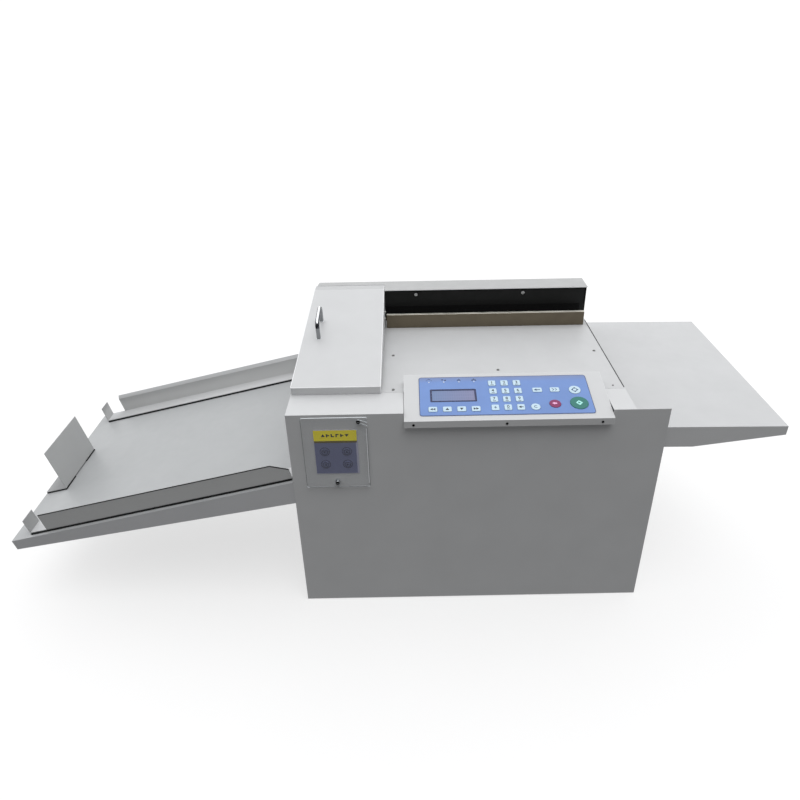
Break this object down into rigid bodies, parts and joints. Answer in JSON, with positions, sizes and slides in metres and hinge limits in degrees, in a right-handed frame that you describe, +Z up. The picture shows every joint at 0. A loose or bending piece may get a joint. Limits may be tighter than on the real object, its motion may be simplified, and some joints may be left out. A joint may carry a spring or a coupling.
{
  "type": "desktop paper creasing machine",
  "caption": "Desktop paper creasing machine with a hinged crease cover, flat feed deck, tilted key console, sloping delivery tray with sliding guides and a side table.",
  "frame": {"origin": "middle of the machine's footprint box, on the surface it stands on", "axes": "+X to the operator's right, +Y to the rear, +Z up"},
  "size_m": [1.3794, 0.4614, 0.51],
  "materials": {
    "painted_light": "satin powder coat",
    "painted_deck": "satin powder coat",
    "guide_paint": "satin powder coat",
    "dark_board": "matt",
    "fence_metal": "bronze anodised",
    "bright_steel": "machined",
    "chrome": "polished",
    "overlay_blue": "printed foil",
    "display": "glossy window",
    "key_white": "satin",
    "key_red": "satin",
    "key_green": "satin",
    "label_yellow": "satin",
    "button_grey": "satin",
    "clear_sheet": "clear plastic sheet",
    "rubber_black": "matt",
    "black_plastic": "satin",
    "magnet_black": "matt",
    "roller_rubber": "matt",
    "motor_grey": "satin"
  },
  "bodies": {
    "cabinet": {"base_pan": "bright_steel", "front_panel": "painted_light", "side_panels": "painted_light", "back_panel": "painted_light", "deck_plate": "painted_deck", "rear_housing": "painted_light", "back_board": "dark_board", "side_fence": "fence_metal", "feed_table": "painted_deck", "delivery_tray": "painted_light", "control_box": "painted_deck", "keypad_overlay": "overlay_blue", "lcd_display": "display", "adjuster_plate": "label_yellow", "rubber_feet": "rubber_black", "screws": "bright_steel", "power_socket": "black_plastic", "unit_frame": "bright_steel", "drive_motor": "motor_grey"},
    "cover": {"crease_cover": "painted_light", "cover_handle": "chrome"},
    "clear_cover": {"swing_cover": "clear_sheet"},
    "rocker": {"power_switch": "black_plastic"},
    "front_guide_set": {"front_guide": "guide_paint", "front_guide_magnet": "magnet_black"},
    "rear_guide_set": {"rear_guide": "guide_paint", "rear_guide_magnet": "magnet_black"},
    "paper_stop_set": {"paper_stop": "guide_paint", "stop_magnets": "magnet_black"},
    "blade": {"crease_blade": "bright_steel"},
    "infeed_drive": {"infeed_roller": "roller_rubber"},
    "infeed_pinch": {"infeed_pinch_roller": "roller_rubber"},
    "outfeed_drive": {"outfeed_roller": "roller_rubber"},
    "outfeed_pinch": {"outfeed_pinch_roller": "roller_rubber"},
    "function_key_1_body": {"function_key_1": "key_white"},
    "function_key_2_body": {"function_key_2": "key_white"},
    "function_key_3_body": {"function_key_3": "key_white"},
    "function_key_4_body": {"function_key_4": "key_white"},
    "number_key_1_body": {"number_key_1": "key_white"},
    "number_key_2_body": {"number_key_2": "key_white"},
    "number_key_3_body": {"number_key_3": "key_white"},
    "number_key_4_body": {"number_key_4": "key_white"},
    "number_key_5_body": {"number_key_5": "key_white"},
    "number_key_6_body": {"number_key_6": "key_white"},
    "number_key_7_body": {"number_key_7": "key_white"},
    "number_key_8_body": {"number_key_8": "key_white"},
    "number_key_9_body": {"number_key_9": "key_white"},
    "number_key_left_body": {"number_key_left": "key_white"},
    "number_key_0_body": {"number_key_0": "key_white"},
    "number_key_right_body": {"number_key_right": "key_white"},
    "mode_key_1_body": {"mode_key_1": "key_white"},
    "mode_key_2_body": {"mode_key_2": "key_white"},
    "arrow_key_cap_body": {"arrow_key_cap": "key_white"},
    "clear_key_cap_body": {"clear_key_cap": "key_white"},
    "stop_key_cap_body": {"stop_key_cap": "key_red"},
    "start_key_cap_body": {"start_key_cap": "key_green"},
    "adjuster_button_1_body": {"adjuster_button_1": "button_grey"},
    "adjuster_button_2_body": {"adjuster_button_2": "button_grey"},
    "adjuster_button_3_body": {"adjuster_button_3": "button_grey"},
    "adjuster_button_4_body": {"adjuster_button_4": "button_grey"}
  },
  "joints": [
    {"name": "cover_hinge", "type": "hinge", "parent": "cabinet", "child": "cover", "pos_m": [-0.07824, 0.18274, 0.482], "axis": [-1, 0, 0], "range_deg": [0, 100]},
    {"name": "clear_cover_pivot", "type": "hinge", "parent": "cabinet", "child": "clear_cover", "pos_m": [-0.07824, -0.22276, 0.289], "axis": [0, -1, 0], "range_deg": [0, 175]},
    {"name": "power_rocker", "type": "hinge", "parent": "cabinet", "child": "rocker", "pos_m": [-0.04524, 0.21274, 0.06], "axis": [1, 0, 0], "range_deg": [0, 14]},
    {"name": "front_guide_slide", "type": "slide", "parent": "cabinet", "child": "front_guide_set", "axis": [0, 1, 0], "range_m": [0, 0.08]},
    {"name": "rear_guide_slide", "type": "slide", "parent": "cabinet", "child": "rear_guide_set", "axis": [0, -1, 0], "range_m": [0, 0.08]},
    {"name": "paper_stop_slide", "type": "slide", "parent": "cabinet", "child": "paper_stop_set", "axis": [0.9744, 0, 0.225], "range_m": [0, 0.3]},
    {"name": "blade_lift", "type": "slide", "parent": "cabinet", "child": "blade", "axis": [0, 0, 1], "range_m": [0, 0.008]},
    {"name": "infeed_roller_spin", "type": "hinge", "parent": "cabinet", "child": "infeed_drive", "pos_m": [-0.03924, -0.00126, 0.411], "axis": [0, -1, 0], "continuous": true},
    {"name": "infeed_pinch_spin", "type": "hinge", "parent": "cabinet", "child": "infeed_pinch", "pos_m": [-0.03924, -0.00126, 0.4305], "axis": [0, -1, 0], "continuous": true},
    {"name": "outfeed_roller_spin", "type": "hinge", "parent": "cabinet", "child": "outfeed_drive", "pos_m": [-0.11324, -0.00126, 0.411], "axis": [0, -1, 0], "continuous": true},
    {"name": "outfeed_pinch_spin", "type": "hinge", "parent": "cabinet", "child": "outfeed_pinch", "pos_m": [-0.11324, -0.00126, 0.4305], "axis": [0, -1, 0], "continuous": true},
    {"name": "adjuster_button_1_press", "type": "slide", "parent": "cabinet", "child": "adjuster_button_1_body", "axis": [0, 1, 0], "range_m": [0, 0.0015], "stiffness_N_per_m": 500},
    {"name": "adjuster_button_2_press", "type": "slide", "parent": "cabinet", "child": "adjuster_button_2_body", "axis": [0, 1, 0], "range_m": [0, 0.0015], "stiffness_N_per_m": 500},
    {"name": "adjuster_button_3_press", "type": "slide", "parent": "cabinet", "child": "adjuster_button_3_body", "axis": [0, 1, 0], "range_m": [0, 0.0015], "stiffness_N_per_m": 500},
    {"name": "adjuster_button_4_press", "type": "slide", "parent": "cabinet", "child": "adjuster_button_4_body", "axis": [0, 1, 0], "range_m": [0, 0.0015], "stiffness_N_per_m": 500},
    {"name": "function_key_1_press", "type": "slide", "parent": "cabinet", "child": "function_key_1_body", "axis": [0, 0.2079, -0.9781], "range_m": [0, 0.0005], "stiffness_N_per_m": 1500, "springref_m": -0.0002},
    {"name": "function_key_2_press", "type": "slide", "parent": "cabinet", "child": "function_key_2_body", "axis": [0, 0.2079, -0.9781], "range_m": [0, 0.0005], "stiffness_N_per_m": 1500, "springref_m": -0.0002},
    {"name": "function_key_3_press", "type": "slide", "parent": "cabinet", "child": "function_key_3_body", "axis": [0, 0.2079, -0.9781], "range_m": [0, 0.0005], "stiffness_N_per_m": 1500, "springref_m": -0.0002},
    {"name": "function_key_4_press", "type": "slide", "parent": "cabinet", "child": "function_key_4_body", "axis": [0, 0.2079, -0.9781], "range_m": [0, 0.0005], "stiffness_N_per_m": 1500, "springref_m": -0.0002},
    {"name": "number_key_1_press", "type": "slide", "parent": "cabinet", "child": "number_key_1_body", "axis": [0, 0.2079, -0.9781], "range_m": [0, 0.0005], "stiffness_N_per_m": 1500, "springref_m": -0.0002},
    {"name": "number_key_2_press", "type": "slide", "parent": "cabinet", "child": "number_key_2_body", "axis": [0, 0.2079, -0.9781], "range_m": [0, 0.0005], "stiffness_N_per_m": 1500, "springref_m": -0.0002},
    {"name": "number_key_3_press", "type": "slide", "parent": "cabinet", "child": "number_key_3_body", "axis": [0, 0.2079, -0.9781], "range_m": [0, 0.0005], "stiffness_N_per_m": 1500, "springref_m": -0.0002},
    {"name": "number_key_4_press", "type": "slide", "parent": "cabinet", "child": "number_key_4_body", "axis": [0, 0.2079, -0.9781], "range_m": [0, 0.0005], "stiffness_N_per_m": 1500, "springref_m": -0.0002},
    {"name": "number_key_5_press", "type": "slide", "parent": "cabinet", "child": "number_key_5_body", "axis": [0, 0.2079, -0.9781], "range_m": [0, 0.0005], "stiffness_N_per_m": 1500, "springref_m": -0.0002},
    {"name": "number_key_6_press", "type": "slide", "parent": "cabinet", "child": "number_key_6_body", "axis": [0, 0.2079, -0.9781], "range_m": [0, 0.0005], "stiffness_N_per_m": 1500, "springref_m": -0.0002},
    {"name": "number_key_7_press", "type": "slide", "parent": "cabinet", "child": "number_key_7_body", "axis": [0, 0.2079, -0.9781], "range_m": [0, 0.0005], "stiffness_N_per_m": 1500, "springref_m": -0.0002},
    {"name": "number_key_8_press", "type": "slide", "parent": "cabinet", "child": "number_key_8_body", "axis": [0, 0.2079, -0.9781], "range_m": [0, 0.0005], "stiffness_N_per_m": 1500, "springref_m": -0.0002},
    {"name": "number_key_9_press", "type": "slide", "parent": "cabinet", "child": "number_key_9_body", "axis": [0, 0.2079, -0.9781], "range_m": [0, 0.0005], "stiffness_N_per_m": 1500, "springref_m": -0.0002},
    {"name": "number_key_left_press", "type": "slide", "parent": "cabinet", "child": "number_key_left_body", "axis": [0, 0.2079, -0.9781], "range_m": [0, 0.0005], "stiffness_N_per_m": 1500, "springref_m": -0.0002},
    {"name": "number_key_0_press", "type": "slide", "parent": "cabinet", "child": "number_key_0_body", "axis": [0, 0.2079, -0.9781], "range_m": [0, 0.0005], "stiffness_N_per_m": 1500, "springref_m": -0.0002},
    {"name": "number_key_right_press", "type": "slide", "parent": "cabinet", "child": "number_key_right_body", "axis": [0, 0.2079, -0.9781], "range_m": [0, 0.0005], "stiffness_N_per_m": 1500, "springref_m": -0.0002},
    {"name": "mode_key_1_press", "type": "slide", "parent": "cabinet", "child": "mode_key_1_body", "axis": [0, 0.2079, -0.9781], "range_m": [0, 0.0005], "stiffness_N_per_m": 1500, "springref_m": -0.0002},
    {"name": "mode_key_2_press", "type": "slide", "parent": "cabinet", "child": "mode_key_2_body", "axis": [0, 0.2079, -0.9781], "range_m": [0, 0.0005], "stiffness_N_per_m": 1500, "springref_m": -0.0002},
    {"name": "arrow_key_cap_press", "type": "slide", "parent": "cabinet", "child": "arrow_key_cap_body", "axis": [0, 0.2079, -0.9781], "range_m": [0, 0.0005], "stiffness_N_per_m": 1500, "springref_m": -0.0002},
    {"name": "clear_key_cap_press", "type": "slide", "parent": "cabinet", "child": "clear_key_cap_body", "axis": [0, 0.2079, -0.9781], "range_m": [0, 0.0005], "stiffness_N_per_m": 1500, "springref_m": -0.0002},
    {"name": "stop_key_cap_press", "type": "slide", "parent": "cabinet", "child": "stop_key_cap_body", "axis": [0, 0.2079, -0.9781], "range_m": [0, 0.0005], "stiffness_N_per_m": 1500, "springref_m": -0.0002},
    {"name": "start_key_cap_press", "type": "slide", "parent": "cabinet", "child": "start_key_cap_body", "axis": [0, 0.2079, -0.9781], "range_m": [0, 0.0005], "stiffness_N_per_m": 1500, "springref_m": -0.0002}
  ],
  "couplings": [
    {"joint": "infeed_pinch_spin", "follows": "infeed_roller_spin", "ratio": -1.7143},
    {"joint": "outfeed_roller_spin", "follows": "infeed_roller_spin", "ratio": 1},
    {"joint": "outfeed_pinch_spin", "follows": "infeed_roller_spin", "ratio": -1.7143}
  ]
}
